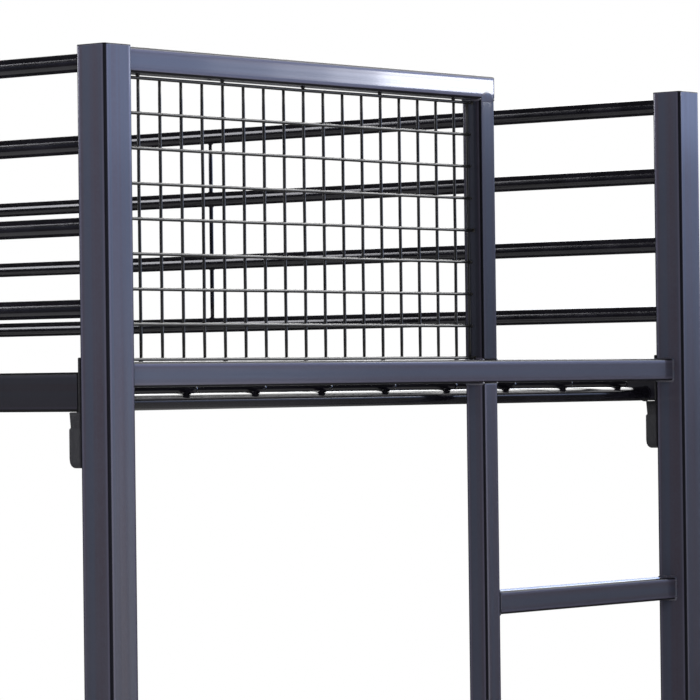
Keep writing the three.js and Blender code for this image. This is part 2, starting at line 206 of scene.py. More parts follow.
def join_skins(skins):
    """Several skins as one, each keeping its own points."""
    starts = np.cumsum([0] + [len(skin.points) for skin in skins[:-1]])
    return Skin(
        np.concatenate([skin.points for skin in skins]),
        np.concatenate([skin.quads + start for skin, start in zip(skins, starts)]),
        np.concatenate([skin.layout for skin in skins]),
        np.concatenate([skin.wear for skin in skins]),
    )


POLE_REACH = 1e-6


def put_mesh(name, skin):
    """A smooth mesh object from a skin, with its map and its light mask attribute.

    Points that a pole of a grid repeats are merged, so that its faces become triangles.
    """
    mesh = bpy.data.meshes.new(name)
    mesh.from_pydata(skin.points, (), skin.quads, shade_flat=False)
    layer = mesh.uv_layers.new(name="surface")
    layer.uv.foreach_set("vector", skin.layout.astype(np.float32).ravel())
    wear = mesh.attributes.new("wear", "FLOAT", "POINT")
    wear.data.foreach_set("value", skin.wear.astype(np.float32))
    work = bmesh.new()
    work.from_mesh(mesh)
    bmesh.ops.remove_doubles(work, verts=work.verts, dist=POLE_REACH)
    work.to_mesh(mesh)
    work.free()
    piece = bpy.data.objects.new(name, mesh)
    bpy.context.scene.collection.objects.link(piece)
    return piece


def add_piece(name, skin, finish, node=None):
    """A finished piece that rides on the bed and stands for its frame piece.

    Its material is made from its finish.
    """
    piece = put_mesh(name, skin)
    piece.data.materials.append(paint(finish))
    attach(piece, ROOT)
    if node:
        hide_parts(node)


def add_tube(node, axis, kind, finish):
    """A tube that stands for the node whose box it fills."""
    add_piece(f"{node}_tube", node_tube(node, axis, kind), finish, node)


# ---- Shapes ----

CORNER_STEPS = 8
CORNER_SUPPORT = 3.5 * MM
ROUND_SIDES = 40
CROSS_SIDES = 32
ROD_SIDES = 20
WIRE_SIDES = 12
BEAD_SIDES = 8
DOME_SHARE = 0.55


def square_section(width, height, radius, steps=CORNER_STEPS, support=CORNER_SUPPORT):
    """Outline of a rectangle with round corners: its points, outward normals and light mask.

    Each corner is a quarter circle about its centre, with one more point a little way on to the
    flat at either end, which keeps the flat's shading flat. The light mask, which the powder coat
    turns into painted shade on the ridge and painted highlight beside it, starts at the corner's
    ends and rises as a sine to its middle, so it is full on the ridge and nothing on the flats.
    """
    sign = np.array([[1, -1], [1, 1], [-1, 1], [-1, -1]])
    centre = sign * (np.array([width, height]) / 2 - radius)
    turn = np.concatenate([[0.0], np.linspace(0, 1, steps + 1), [1.0]])
    angle = (np.arange(4)[:, None] - 1 + turn) * math.pi / 2
    slide = np.concatenate([[-support], np.zeros(steps + 1), [support]])[None, :, None]
    normal = np.stack([np.cos(angle), np.sin(angle)], axis=-1)
    tangent = np.stack([-np.sin(angle), np.cos(angle)], axis=-1)
    points = centre[:, None, :] + radius * normal + slide * tangent
    painted_corner_shade = 0.3 + 0.7 * np.sin(np.linspace(0, math.pi, steps + 1))
    light_values = np.concatenate([[0.0], painted_corner_shade, [0.0]])
    return points.reshape(-1, 2), normal.reshape(-1, 2), np.tile(light_values, 4)


def round_section(diameter, sides):
    """Outline of a circle: its points, outward normals and an empty light mask."""
    angle = np.arange(sides) * 2 * math.pi / sides
    normal = np.stack([np.cos(angle), np.sin(angle)], axis=-1)
    return normal * diameter / 2, normal, np.zeros(sides)


def lay_along(axis, spread, middle, along):
    """Turns points of a section about a middle, and distances along an axis, into X, Y and Z."""
    across, up = spread[..., 0] + middle[0], spread[..., 1] + middle[1]
    order = {"X": (along, across, up), "Y": (across, along, up), "Z": (across, up, along)}
    return np.stack(np.broadcast_arrays(*order[axis]), axis=-1)


def stack_rings(rings, wear=0.0):
    """The surface through rings of equally many points, one after the other."""
    return grid_skin(np.stack(rings, axis=1), close_columns=False, wear=wear)


def tube_skin(axis, section, middle, low, high, wall, edge):
    """A hollow tube: its section carried along the axis, over both sawn ends and back inside.

    The profile is a list of (distance along, depth into the wall, light mask). A point of the
    surface is the section's point less its normal times that depth. The sawn edges are rounded,
    and the light mask marks them for painted shade.
    """
    points, normals, light_values = section
    ease = 0.3 * edge
    sawn = (
        (4 * edge, 0.0, 0.0),
        (edge, 0.0, 1.0),
        (ease, ease, 1.0),
        (0.0, edge, 1.0),
        (0.0, wall - edge, 1.0),
        (ease, wall - ease, 1.0),
        (edge, wall, 1.0),
        (4 * edge, wall, 0.0),
    )
    far = [(high - step, depth, wear) for step, depth, wear in sawn]
    near = [(low + step, depth, wear) for step, depth, wear in reversed(sawn)]
    along, depth, cut_end_shade = np.array(near[-1:] + far + near[:-1]).T
    spread = points[:, None, :] - normals[:, None, :] * depth[None, :, None]
    grid = lay_along(axis, spread, middle, along[None, :])
    return grid_skin(grid, wear=np.maximum(light_values[:, None], cut_end_shade[None, :]))


def cross_box(node, axis):
    """A node's two ends along an axis, and the size and middle of its box across it."""
    low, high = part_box(node)
    run = "XYZ".index(axis)
    others = [i for i in range(3) if i != run]
    size = [high[i] - low[i] for i in others]
    middle = [(high[i] + low[i]) / 2 for i in others]
    return (low[run], high[run]), size, middle


def block_box(node, axis):
    """A node's ends along an axis and its half width, in millimetres, and its middle in metres."""
    (low, high), size, middle = cross_box(node, axis)
    return low / MM, high / MM, size[0] / 2 / MM, middle


def node_tube(node, axis, kind):
    """A tube of one kind in a node's own box: square if the kind has a corner radius."""
    sizes = bpy.context.scene.bed_tubes
    radius = getattr(sizes, f"{kind}_radius", None)
    ends, size, middle = cross_box(node, axis)
    if radius is None:
        section = round_section(size[1], ROUND_SIDES)
    else:
        section = square_section(*size, radius)
    wall = getattr(sizes, f"{kind}_wall")
    return tube_skin(axis, section, middle, *ends, wall, sizes.cut_edge)


def capsule_skin(path, radius, sides):
    """A round rod along a nearly straight path, closed by domed ends.

    The path is a list of points; the rings stand square to the line from its first to its last
    point. Each end has three more rings whose radius falls as a quarter circle does.
    """
    direction = path[-1] - path[0]
    direction = direction / np.linalg.norm(direction)
    helper = np.eye(3)[np.argmin(np.abs(direction))]
    side = np.cross(direction, helper)
    side /= np.linalg.norm(side)
    up = np.cross(direction, side)
    fall = np.array([0.0, 0.55, 0.9])
    sunk = (1 - np.sqrt(1 - fall**2)) * DOME_SHARE * radius
    first = path[0] + np.outer(sunk, direction)
    last = path[-1] - np.outer(sunk[::-1], direction)
    inner = path[1:-1]
    centres = np.concatenate([first, inner, last])
    radii = np.concatenate([fall, np.ones(len(inner)), fall[::-1]]) * radius
    angle = np.arange(sides) * 2 * math.pi / sides
    ring = np.cos(angle)[:, None] * side + np.sin(angle)[:, None] * up
    grid = centres[None, :, :] + ring[:, None, :] * radii[None, :, None]
    return grid_skin(grid, close_columns=False)


def blob_skin(centre, radii, sides, rings):
    """A spot of weld metal: a sphere's points, by angle round and angle down, times three radii."""
    around = np.arange(sides) * 2 * math.pi / sides
    down = np.linspace(0, math.pi, rings)
    a, d = np.meshgrid(around, down, indexing="ij")
    ball = np.stack([np.sin(d) * np.cos(a), np.sin(d) * np.sin(a), np.cos(d)], axis=-1)
    return grid_skin(np.asarray(centre) + ball * np.asarray(radii), close_columns=False)


def bead_skin(axis, place, section, legs, ripple, pitch, phase):
    """A weld bead round the end of a bar: a small circle carried round the bar's outline.

    At each point of the outline the circle's radius is the mean of the legs towards the section's
    +x, +y, -x and -y, weighted by the square of the outline's normal that way, with ripples by the
    distance run. The circle's middle sits in the corner between bar and face, sunk by a third.
    """
    points, normals, _ = section
    step = np.linalg.norm(np.diff(points, axis=0, append=points[:1]), axis=1)
    length_round = step.sum()
    knots = np.concatenate([[0.0], np.cumsum(step)[:-1], [length_round]])
    count = max(24, int(length_round / (pitch / 4)))
    target = np.arange(count) * length_round / count
    closed = np.hstack([points, normals])
    closed = np.append(closed, closed[:1], axis=0)
    even = np.stack([np.interp(target, knots, column) for column in closed.T], axis=-1)
    outline, out = even[:, :2], even[:, 2:]
    out = out / np.linalg.norm(out, axis=1, keepdims=True)
    weight = np.maximum(np.concatenate([out, -out], axis=1), 0.0) ** 2
    waves = round(length_round / pitch)
    turn = 2 * math.pi * target / length_round
    wave = np.sin(waves * turn + phase) + 0.6 * np.sin(3 * turn + 2 * phase)
    leg = weight @ np.array(legs) * (1 + ripple * wave)
    angle = np.arange(BEAD_SIDES) * 2 * math.pi / BEAD_SIDES
    push = np.cos(angle)[None, :] - 0.33
    spread = outline[:, None, :] + out[:, None, :] * (leg[:, None] * push)[..., None]
    return grid_skin(lay_along(axis, spread, place, place[2] + leg[:, None] * np.sin(angle)))


# ---- Paint ----


class Field:
    """A shader socket that adds, subtracts and multiplies like a number."""

    def __init__(self, coat, socket):
        self.coat = coat
        self.socket = socket

    def _math(self, operation, first, second):
        return self.coat.node("ShaderNodeMath", {"operation": operation}, {0: first, 1: second})

    def __add__(self, other):
        return self._math("ADD", self, other)

    def __sub__(self, other):
        return self._math("SUBTRACT", self, other)

    def __rsub__(self, other):
        return self._math("SUBTRACT", other, self)

    def __mul__(self, other):
        return self._math("MULTIPLY", self, other)

    __radd__ = __add__
    __rmul__ = __mul__

    def smooth(self, low, high):
        """Zero below low, one above high, and a smooth step between them."""
        inputs = {"Value": self, "From Min": low, "From Max": high}
        return self.coat.node(
            "ShaderNodeMapRange", {"interpolation_type": "SMOOTHSTEP"}, inputs
        )


class Coat:
    """The node tree of a material or a world under construction."""

    def __init__(self, owner):
        self.owner = owner
        owner.use_nodes = True
        self.tree = owner.node_tree
        self.tree.nodes.clear()

    def node(self, kind, settings=None, inputs=None, output=0):
        """A new node: its settings first, then its sockets' values or links. Gives one output."""
        made = self.tree.nodes.new(kind)
        for key, value in (settings or {}).items():
            setattr(made, key, value)
        for key, value in (inputs or {}).items():
            if isinstance(value, Field):
                self.tree.links.new(value.socket, made.inputs[key])
            else:
                made.inputs[key].default_value = value
        return Field(self, made.outputs[output]) if made.outputs else None

    def place(self):
        """Object coordinates, in metres."""
        return self.node("ShaderNodeTexCoord", output="Object")

    def surface(self, across, along):
        """The piece's own map, with its distances across and along multiplied."""
        mapped = self.node("ShaderNodeUVMap", {"uv_map": "surface"})
        scales = (across, along, 1.0)
        return self.node("ShaderNodeVectorMath", {"operation": "MULTIPLY"}, {0: mapped, 1: scales})

    def wear(self):
        """The light mask, from nothing to one: painted shade and highlight on frame corners and cut
        ends, and a bracket's lighter lug.
        """
        return self.node("ShaderNodeAttribute", {"attribute_name": "wear"}, output="Fac")

    def noise(self, where, scale, detail=3.0, rough=0.55):
        """Noise from nothing to one."""
        inputs = {"Vector": where, "Scale": scale, "Detail": detail, "Roughness": rough}
        return self.node("ShaderNodeTexNoise", None, inputs)

    def blend(self, share, first, second):
        """A colour between two colours."""
        inputs = {0: share, 6: first, 7: second}
        return self.node("ShaderNodeMix", {"data_type": "RGBA"}, inputs, output=2)

    def bump(self, height, distance, strength):
        """A normal from a height."""
        inputs = {"Height": height, "Distance": distance, "Strength": strength}
        return self.node("ShaderNodeBump", None, inputs)

    def finish(self, inputs):
        """The surface shader and the material's output. Gives the material."""
        shader = self.node("ShaderNodeBsdfPrincipled", None, inputs)
        self.node("ShaderNodeOutputMaterial", None, {"Surface": shader})
        return self.owner


def shade(colour, factor, tint=(1.0, 1.0, 1.0)):
    """A colour made lighter or darker and tinted, with alpha."""
    return tuple(c * factor * t for c, t in zip(colour, tint)) + (1.0,)


def new_coat(name):
    """A new material's empty tree."""
    return Coat(bpy.data.materials.new(name))


def powder_coat(name, colour, gloss, metal, clear):
    """Metallic powder coat on drawn steel tube: lengthwise streaks that lean to violet and to
    steel blue, cloudy patches, fine orange peel, and painted light on the edges: a painted shade
    line along each corner between two painted highlights on its flanks, and painted shade on the
    cut ends.
    """
    coat = new_coat(name)
    where = coat.place()
    cloud = coat.noise(where, 7.0, 4.0)
    streak = coat.noise(coat.surface(260.0, 1.3), 1.0)
    drift = coat.noise(coat.surface(95.0, 0.5), 1.0, 2.0)
    mottle = coat.noise(where, 320.0, 2.0)
    wear = coat.wear()
    tone = cloud * 0.5 + streak * 0.5
    violet = shade(colour, 0.90, (1.22, 0.98, 0.94))
    steel = shade(colour, 1.10, (0.90, 1.03, 1.07))
    base = coat.blend(drift.smooth(0.38, 0.62), violet, steel)
    base = coat.blend(tone.smooth(0.35, 0.65) * 0.6, base, shade(colour, 1.2))
    base = coat.blend(mottle.smooth(0.35, 0.75) * 0.35, base, shade(colour, 1.22))
    # Painted highlight on each corner's flanks, and painted shade along its ridge and on the cut
    # ends
    painted_flank_highlight = wear.smooth(0.05, 0.22) * (1 - wear.smooth(0.32, 0.45))
    painted_corner_shade = wear.smooth(0.45, 0.68)
    base = coat.blend(painted_flank_highlight * 0.7, base, shade(colour, 1.75, (1.05, 0.97, 1.0)))
    base = coat.blend(painted_corner_shade * 0.95, base, shade(colour, 0.12))
    drawn = coat.noise(coat.surface(700.0, 6.0), 1.0, 2.0)
    peel = coat.noise(where, 900.0, 2.0, 0.5)
    return coat.finish(
        {
            "Base Color": base,
            "Metallic": metal,
            "Roughness": gloss - 0.06 + 0.08 * tone + 0.05 * mottle,
            "Specular IOR Level": 0.2,
            "Coat Weight": clear * (0.72 + 0.28 * streak.smooth(0.3, 0.65)) * (1 - painted_corner_shade),
            "Coat Roughness": 0.06,
            "Coat IOR": 1.7,
            "Normal": coat.bump(peel * 0.15 + drawn, 0.00005, 0.25),
        }
    )


def enamel(name, colour, gloss, specular=0.5, peel_scale=600.0):
    """Dipped black enamel: glossy, with slow ripples, dust nibs and duller patches."""
    coat = new_coat(name)
    where = coat.place()
    cloud = coat.noise(where, 24.0)
    nib = coat.noise(where, 480.0, 1.0).smooth(0.68, 0.80)
    ripple = coat.noise(where, peel_scale, 2.0)
    base = coat.blend(cloud.smooth(0.3, 0.7), shade(colour, 0.75), shade(colour, 1.45))
    return coat.finish(
        {
            "Base Color": base,
            "Roughness": gloss - 0.03 + 0.12 * cloud,
            "Specular IOR Level": specular,
            "Normal": coat.bump(ripple + nib * 0.6, 0.0001, 0.3),
        }
    )


def moulding(name, colour, gloss):
    """Moulded plastic with a fine leather grain: rough and dark above, and smoother and a little
    lighter, with light scuffs, where the light mask is set, as on a bracket's lug.
    """
    coat = new_coat(name)
    where = coat.place()
    grain = {"Vector": where, "Scale": 1400.0}
    cells = coat.node("ShaderNodeTexVoronoi", {"feature": "DISTANCE_TO_EDGE"}, grain)
    cloud = coat.noise(where, 60.0)
    fleck = coat.noise(where, 620.0).smooth(0.52, 0.70)
    scuff = coat.noise(where, 210.0).smooth(0.55, 0.75)
    wear = coat.wear()
    base = coat.blend(cloud.smooth(0.3, 0.7), shade(colour, 0.8), shade(colour, 1.35))
    base = coat.blend(fleck * (1 - wear) * 0.5, base, shade(colour, 5.0))
    # Lighter and smoother where the light mask marks a bracket's lug
    base = coat.blend(wear * 0.75, base, shade(colour, 2.3))
    base = coat.blend(scuff * wear * 0.4, base, shade(colour, 3.5))
    return coat.finish(
        {
            "Base Color": base,
            "Roughness": gloss + 0.10 * cloud - 0.12 * wear,
            "Normal": coat.bump(cells + fleck * (1 - wear) * 1.5, 0.0002, 0.5),
        }
    )


def bare_weld(name, colour):
    """Bright weld metal, speckled with dark scale."""
    coat = new_coat(name)
    where = coat.place()
    fleck = coat.noise(where, 900.0).smooth(0.40, 0.58)
    ripple = coat.noise(where, 1600.0, 2.0)
    return coat.finish(
        {
            "Base Color": coat.blend(fleck, shade(colour, 0.15), shade(colour, 1.0)),
            "Metallic": 0.2 + 0.6 * fleck,
            "Roughness": 0.45 - 0.12 * fleck,
            "Normal": coat.bump(ripple + fleck, 0.00015, 0.6),
        }
    )


PAINTS = {}
# Painted shade: the stile's upper length takes the frame's colour darkened to this share
STILE_SHADE_SHARE = 0.4


def paint(key):
    """The bed's finishes, made once each and shared by its pieces."""
    if key not in PAINTS:
        tones = bpy.context.scene.bed_paint
        steel, gloss = tones.frame_colour, tones.frame_gloss
        # Painted shade: the upper stile's coat is the frame's colour darkened
        stile = [STILE_SHADE_SHARE * c for c in steel]
        side_gloss, plug_gloss = gloss + 0.12, tones.plastic_gloss + 0.06
        recipe, *settings = {
            "frame": (powder_coat, "frame_powder_coat", steel, gloss, 0.3, 1.0),
            "stile": (powder_coat, "stile_powder_coat", stile, gloss, 0.3, 0.4),
            "side": (powder_coat, "side_rail_powder_coat", tones.side_colour, side_gloss, 0.0, 0.1),
            "guard": (enamel, "guard_rail_enamel", tones.black, tones.black_gloss),
            "deck": (enamel, "deck_enamel", tones.black, tones.black_gloss),
            "wire": (enamel, "wire_dip_coat", tones.wire_colour, tones.wire_gloss, 0.75, 1500.0),
            "weld": (bare_weld, "bare_weld_metal", tones.weld_colour),
            "bracket": (moulding, "bracket_plastic", tones.plastic, tones.plastic_gloss),
            "plug": (moulding, "plug_plastic", tones.plastic, plug_gloss),
        }[key]
        PAINTS[key] = recipe(*settings)
    return PAINTS[key]


# ---- Pieces ----


def bar_nodes():
    """The square bars of both ends, each with the axis that it runs along."""
    bars = {f"{end}_beam_{bunk}": "Y" for end in ENDS for bunk in BUNKS}
    bars.update({"ladder_top_rail": "Y", "head_top_rail": "Y"})
    bars.update({f"ladder_rung_{i}": "Y" for i in (1, 2, 3)})
    bars.update({f"head_lower_rail_{i}": "Y" for i in (1, 2)})
    bars.update({"ladder_stile_upper": "Z", "ladder_stile_lower": "Z"})
    return bars


def ringed_skin(profile, radius, middle):
    """A block with a square, round-cornered section whose half width follows the profile.

    The surface is the section at each (half width, height) of the profile, in millimetres. The
    corner radius shrinks with the section, so that rings near the middle close on a point.
    """
    rings = []
    for half, height in profile:
        half = half * MM
        corner = min(radius, half * 0.5)
        slide = min(CORNER_SUPPORT, half * 0.2)
        section = square_section(2 * half, 2 * half, corner, support=slide)[0]
        level = np.full(len(section), height * MM)
        rings.append(np.column_stack([section + np.array(middle), level]))
    return stack_rings(rings)


# Thickness of lids, skirts and stems, and the play of a plug in its tube, in millimetres
LID_SKIRT = 2.0
PLUG_PLAY = 0.3


def lid_profile(half, low, top, lip):
    """A lid's (half width, height) in millimetres: flat top, rounded rim, outside of its skirt."""
    return [
        (0.0, top - 0.05),
        (half - 3 * lip, top - 0.05),
        (half - lip, top),
        (half - 0.3 * lip, top - 0.3 * lip),
        (half, top - lip),
        (half, low + lip),
        (half - 0.3 * lip, low),
    ]


def add_cap(where, sizes):
    """A flush cap: a thin skirted lid, its top edge rounded by a hair."""
    node = f"post_cap_{where}"
    low, top, half, middle = block_box(node, "Z")
    lip = 0.7
    core, roof = half - LID_SKIRT, top - LID_SKIRT
    profile = lid_profile(half, low, top, lip) + [
        (core + 0.2 * lip, low),
        (core, low + lip),
        (core, roof - lip),
        (core - lip, roof),
        (0.0, roof),
    ]
    radius = sizes.post_radius - sizes.post_wall - PLUG_PLAY * MM
    add_piece(f"post_lid_{where}", ringed_skin(profile, radius, middle), "plug", node)


def add_foot(where, sizes):
    """A moulded foot: a rounded pad under the post and a hollow stem inside it."""
    node = f"foot_{where}"
    low, top, half, middle = block_box(node, "Z")
    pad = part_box(f"post_{where}")[0].z / MM
    stem = half - sizes.post_wall / MM - PLUG_PLAY
    core = stem - LID_SKIRT
    profile = [
        (0.0, low + 0.4),
        (half - 6.0, low + 0.4),
        (half - 5.0, low),
        (half - 2.4, low),
        (half - 1.2, low + 0.5),
        (half - 0.3, low + 1.6),
        (half, low + 3.0),
        (half, pad - 0.8),
        (half - 0.3, pad - 0.1),
        (half - 0.9, pad),
        (stem + 0.3, pad),
        (stem, pad + 0.3),
        (stem, top - 1.0),
        (stem - 0.4, top),
        (core + 0.3, top),
        (core, top - 0.3),
        (core, pad + 2.0),
        (core - 1.0, pad + 1.0),
        (0.0, pad + 1.0),
    ]
    skin = ringed_skin(profile, sizes.post_radius, middle)
    add_piece(f"foot_pad_{where}", skin, "plug", node)


class BED_OT_posts(bpy.types.Operator):
    """Makes the four posts, their flush caps and their feet"""

    bl_idname = "bed.posts"
    bl_label = "Posts"

    def execute(self, context):
        sizes = context.scene.bed_tubes
        for end in ENDS:
            for side in SIDES:
                where = f"{end}_{side}"
                post = f"post_{where}"
                add_piece(f"post_tube_{where}", node_tube(post, "Z", "post"), "frame", post)
                add_cap(where, sizes)
                add_foot(where, sizes)
        return {"FINISHED"}


def add_plug(node, sizes):
    """The plug in the top rail's open end: a lid made upright and then laid along Y."""
    low, top, half, middle = block_box(node, "Y")
    core, roof = half - LID_SKIRT, top - LID_SKIRT
    profile = lid_profile(half, low, top, 0.6) + [(core, low), (core, roof), (0.0, roof)]
    skin = ringed_skin(profile, sizes.bar_radius - sizes.bar_wall, middle)
    skin.points = skin.points[:, [0, 2, 1]]
    skin.quads, skin.layout = skin.quads[:, ::-1], skin.layout[:, ::-1]
    add_piece("top_rail_end_plug", skin, "plug", node)


class BED_OT_end_frames(bpy.types.Operator):
    """Makes the square bars of both ends and the ladder"""

    bl_idname = "bed.end_frames"
    bl_label = "End frames"

    def execute(self, context):
        for node, axis in bar_nodes().items():
            # The upper stile gets the darker coat of painted shade
            finish = "stile" if node == "ladder_stile_upper" else "frame"
            add_tube(node, axis, "bar", finish)
        add_plug("ladder_top_rail_plug", context.scene.bed_tubes)
        return {"FINISHED"}


# Height of a weld ground away, and how near the middle a bar's end is the stile's, not a post's
GROUND_WELD = 0.02 * MM
STILE_REACH = 0.3


def stile_weld():
    """The weld of stile and top rail on their common face, ground to a thin round tongue.

    Its outline is half an ellipse on two short sides. Its face stands off by a depth that
    grows with height, so it leans down a little, and shallower rings round its edge.
    """
    low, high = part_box("ladder_stile_upper")
    middle = (low.y + high.y) / 2
    half, tall, sides, deep = 10.5 * MM, 7.875 * MM, 3.0 * MM, 0.45 * MM
    turn = np.linspace(0, math.pi, 25)
    across = np.concatenate([half * np.cos(turn), -half * np.linspace(1, -1, 9)[1:-1]])
    up = np.concatenate([tall * np.sin(turn), np.full(7, -sides)])
    up[0] = up[24] = -sides
    rings = []
    for scale, depth in ((1.0, -0.2), (1.0, 0.35), (0.95, 0.9), (0.85, 1.0), (0.0, 1.0)):
        y = middle + across * scale
        z = high.z + up * scale
        lean = (up * scale + sides) / (tall + sides)
        rings.append(np.column_stack([high.x + deep * depth * (0.1 + 0.9 * lean), y, z]))
    return [stack_rings(rings)]


def bar_beads(node, axis, sign, scene):
    """A bead at each end of a bar, full where it stands on a face and flush where it meets one.

    On the top rails' tops and the uprights' outer faces it is ground away to a trace.
    """
    welds = scene.bed_welds
    full, flush = welds.bead, welds.flush_bead
    ends, size, middle = cross_box(node, axis)
    section = square_section(*size, scene.bed_tubes.bar_radius)
    beads = []
    for place in ends:
        at_stile = axis == "Y" and abs(place) < STILE_REACH
        if node == "ladder_top_rail" and at_stile:
            continue
        outer = flush if at_stile else full
        top = GROUND_WELD if node.endswith("top_rail") else full
        if axis == "Z":
            outer, top = GROUND_WELD, full
        legs = (outer, top, flush, full) if sign > 0 else (flush, top, outer, full)
        spot = (*middle, place)
        phase = 7.0 * place + 3.0 * middle[1]
        ripples = (welds.ripple, welds.ripple_pitch, phase)
        beads.append(bead_skin(axis, spot, section, legs, *ripples))
    return beads


class BED_OT_welds(bpy.types.Operator):
    """Makes the weld beads of the end frames"""

    bl_idname = "bed.welds"
    bl_label = "Welds"

    def execute(self, context):
        for end, sign in ENDS.items():
            beads = {"end": [], "rail": []}
            for node, axis in bar_nodes().items():
                if node.startswith(end):
                    group = "rail" if node.endswith("top_rail") else "end"
                    beads[group] += bar_beads(node, axis, sign, context.scene)
            if end == "ladder":
                beads["end"] += stile_weld()
            for group, finish in (("end", "frame"), ("rail", "weld")):
                skin = join_skins(beads[group])
                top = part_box(f"{end}_top_rail")[1].z
                skin.points[:, 2] = np.minimum(skin.points[:, 2], top)
                add_piece(f"{end}_{group}_welds", skin, finish)
        return {"FINISHED"}


class BED_OT_wire_panels(bpy.types.Operator):
    """Makes the two welded wire panels"""

    bl_idname = "bed.wire_panels"
    bl_label = "Wire panels"

    def execute(self, context):
        wires = context.scene.bed_wires
        welds = context.scene.bed_welds
        for end, sign in ENDS.items():
            skin = panel_skin(end, sign, wires, welds)
            add_piece(f"{end}_wires", skin, "wire", f"{end}_wire_panel")
        return {"FINISHED"}


# One wire in so many reaches the frame, and how far from it the middle of its tack is
HELD_EVERY = 4
TACK_INSET = 0.4 * MM


def panel_places(end, wires):
    """Where the wires run: the upright wires' Y, the level wires' Z, and the frame round them."""
    beam_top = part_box(f"{end}_beam_upper")[1].z
    rail_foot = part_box(f"{end}_top_rail")[0].z
    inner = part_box(f"{end}_beam_upper")[0].y
    half = wires.wire / 2
    low = beam_top + wires.foot_gap + half
    high = rail_foot - wires.top_gap - half
    gaps = max(1, round((high - low) / wires.pitch_up))
    rows = np.linspace(low, high, gaps + 1)
    if end == "ladder":
        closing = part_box("ladder_stile_upper")[0].y
        first = inner + wires.post_gap + half
        last = closing - wires.stile_gap - half
        bays = math.floor((last - first - 4 * half) / wires.pitch_across)
        columns = np.append(first + np.arange(bays + 1) * wires.pitch_across, last)
        sides = (inner, closing)
    else:
        bays = math.floor((-2 * (inner + wires.post_gap) - 2 * half) / wires.pitch_across)
        columns = (np.arange(bays + 1) - bays / 2) * wires.pitch_across
        sides = (inner, -inner)
    return columns, rows, (beam_top, rail_foot), sides


def panel_skin(end, sign, wires, welds):
    """A wire panel: upright wires inside, level wires outside, and a spot of weld at each crossing.

    A wire is a round rod that strays sideways by a slow wave between its welds. One in four reaches
    the frame and is tacked to it at both ends.
    """
    draw = np.random.default_rng(11 if end == "ladder" else 12)
    columns, rows, heights, sides = panel_places(end, wires)
    low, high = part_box(f"{end}_beam_upper")
    middle = (low.x + high.x) / 2
    bare = wires.wire / 2
    radius = bare + wires.wire_coat
    tack = welds.spot * 1.25
    families = (
        (2, columns, rows, heights, 1, -sign, (tack, tack * 1.2, tack)),
        (1, rows, columns, sides, 0, sign, (tack, tack, tack * 1.1)),
    )
    skins = []
    tacks = []
    for run, places, crossings, frame_reach, held, way, tack_size in families:
        for i, place in enumerate(places):
            spot = np.array([middle + way * bare, place, place])
            reach = (crossings[0] - radius, crossings[-1] + radius)
            if i % HELD_EVERY == held:
                reach = frame_reach
                for stop in (reach[0] + TACK_INSET, reach[1] - TACK_INSET):
                    tack_spot = np.array([middle + way * radius, place, place])
                    tack_spot[run] = stop
                    tacks.append(blob_skin(tack_spot, tack_size, 10, 6))
            path = stray_path(run, reach, spot, wires.bow, draw)
            skins.append(capsule_skin(path, radius, WIRE_SIDES))
    for y in columns:
        for z in rows:
            size = welds.spot * draw.uniform(0.85, 1.15, 3) * (0.6, 1.0, 1.0)
            skins.append(blob_skin((middle, y, z), size, 8, 5))
            size = radius * draw.uniform(0.96, 1.12, 3) * (1.0, 1.5, 1.0)
            skins.append(blob_skin((middle + sign * bare, y, z), size, 10, 7))
    return join_skins(skins + tacks)


def stray_path(run, reach, place, bow, draw):
    """Points along a wire: straight, plus two slow waves of random phase in both other ways.

    The waves fade out towards the wire's ends, and they are weaker in X than along the panel.
    """
    steps = max(8, int((reach[1] - reach[0]) / 0.02))
    along = np.linspace(reach[0], reach[1], steps + 1)
    path = np.tile(place, (steps + 1, 1))
    path[:, run] = along
    gone = (along - reach[0]) / (reach[1] - reach[0])
    hold = np.sin(math.pi * gone) ** 0.5
    for other in range(3):
        if other != run:
            weight = 0.35 if other == 0 else 1.0
            phase = draw.uniform(0, 2 * math.pi, 2)
            wave = np.sin(7 * gone + phase[0]) + 0.5 * np.sin(17 * gone + phase[1])
            path[:, other] += bow * weight * hold * wave * 0.6
    return path


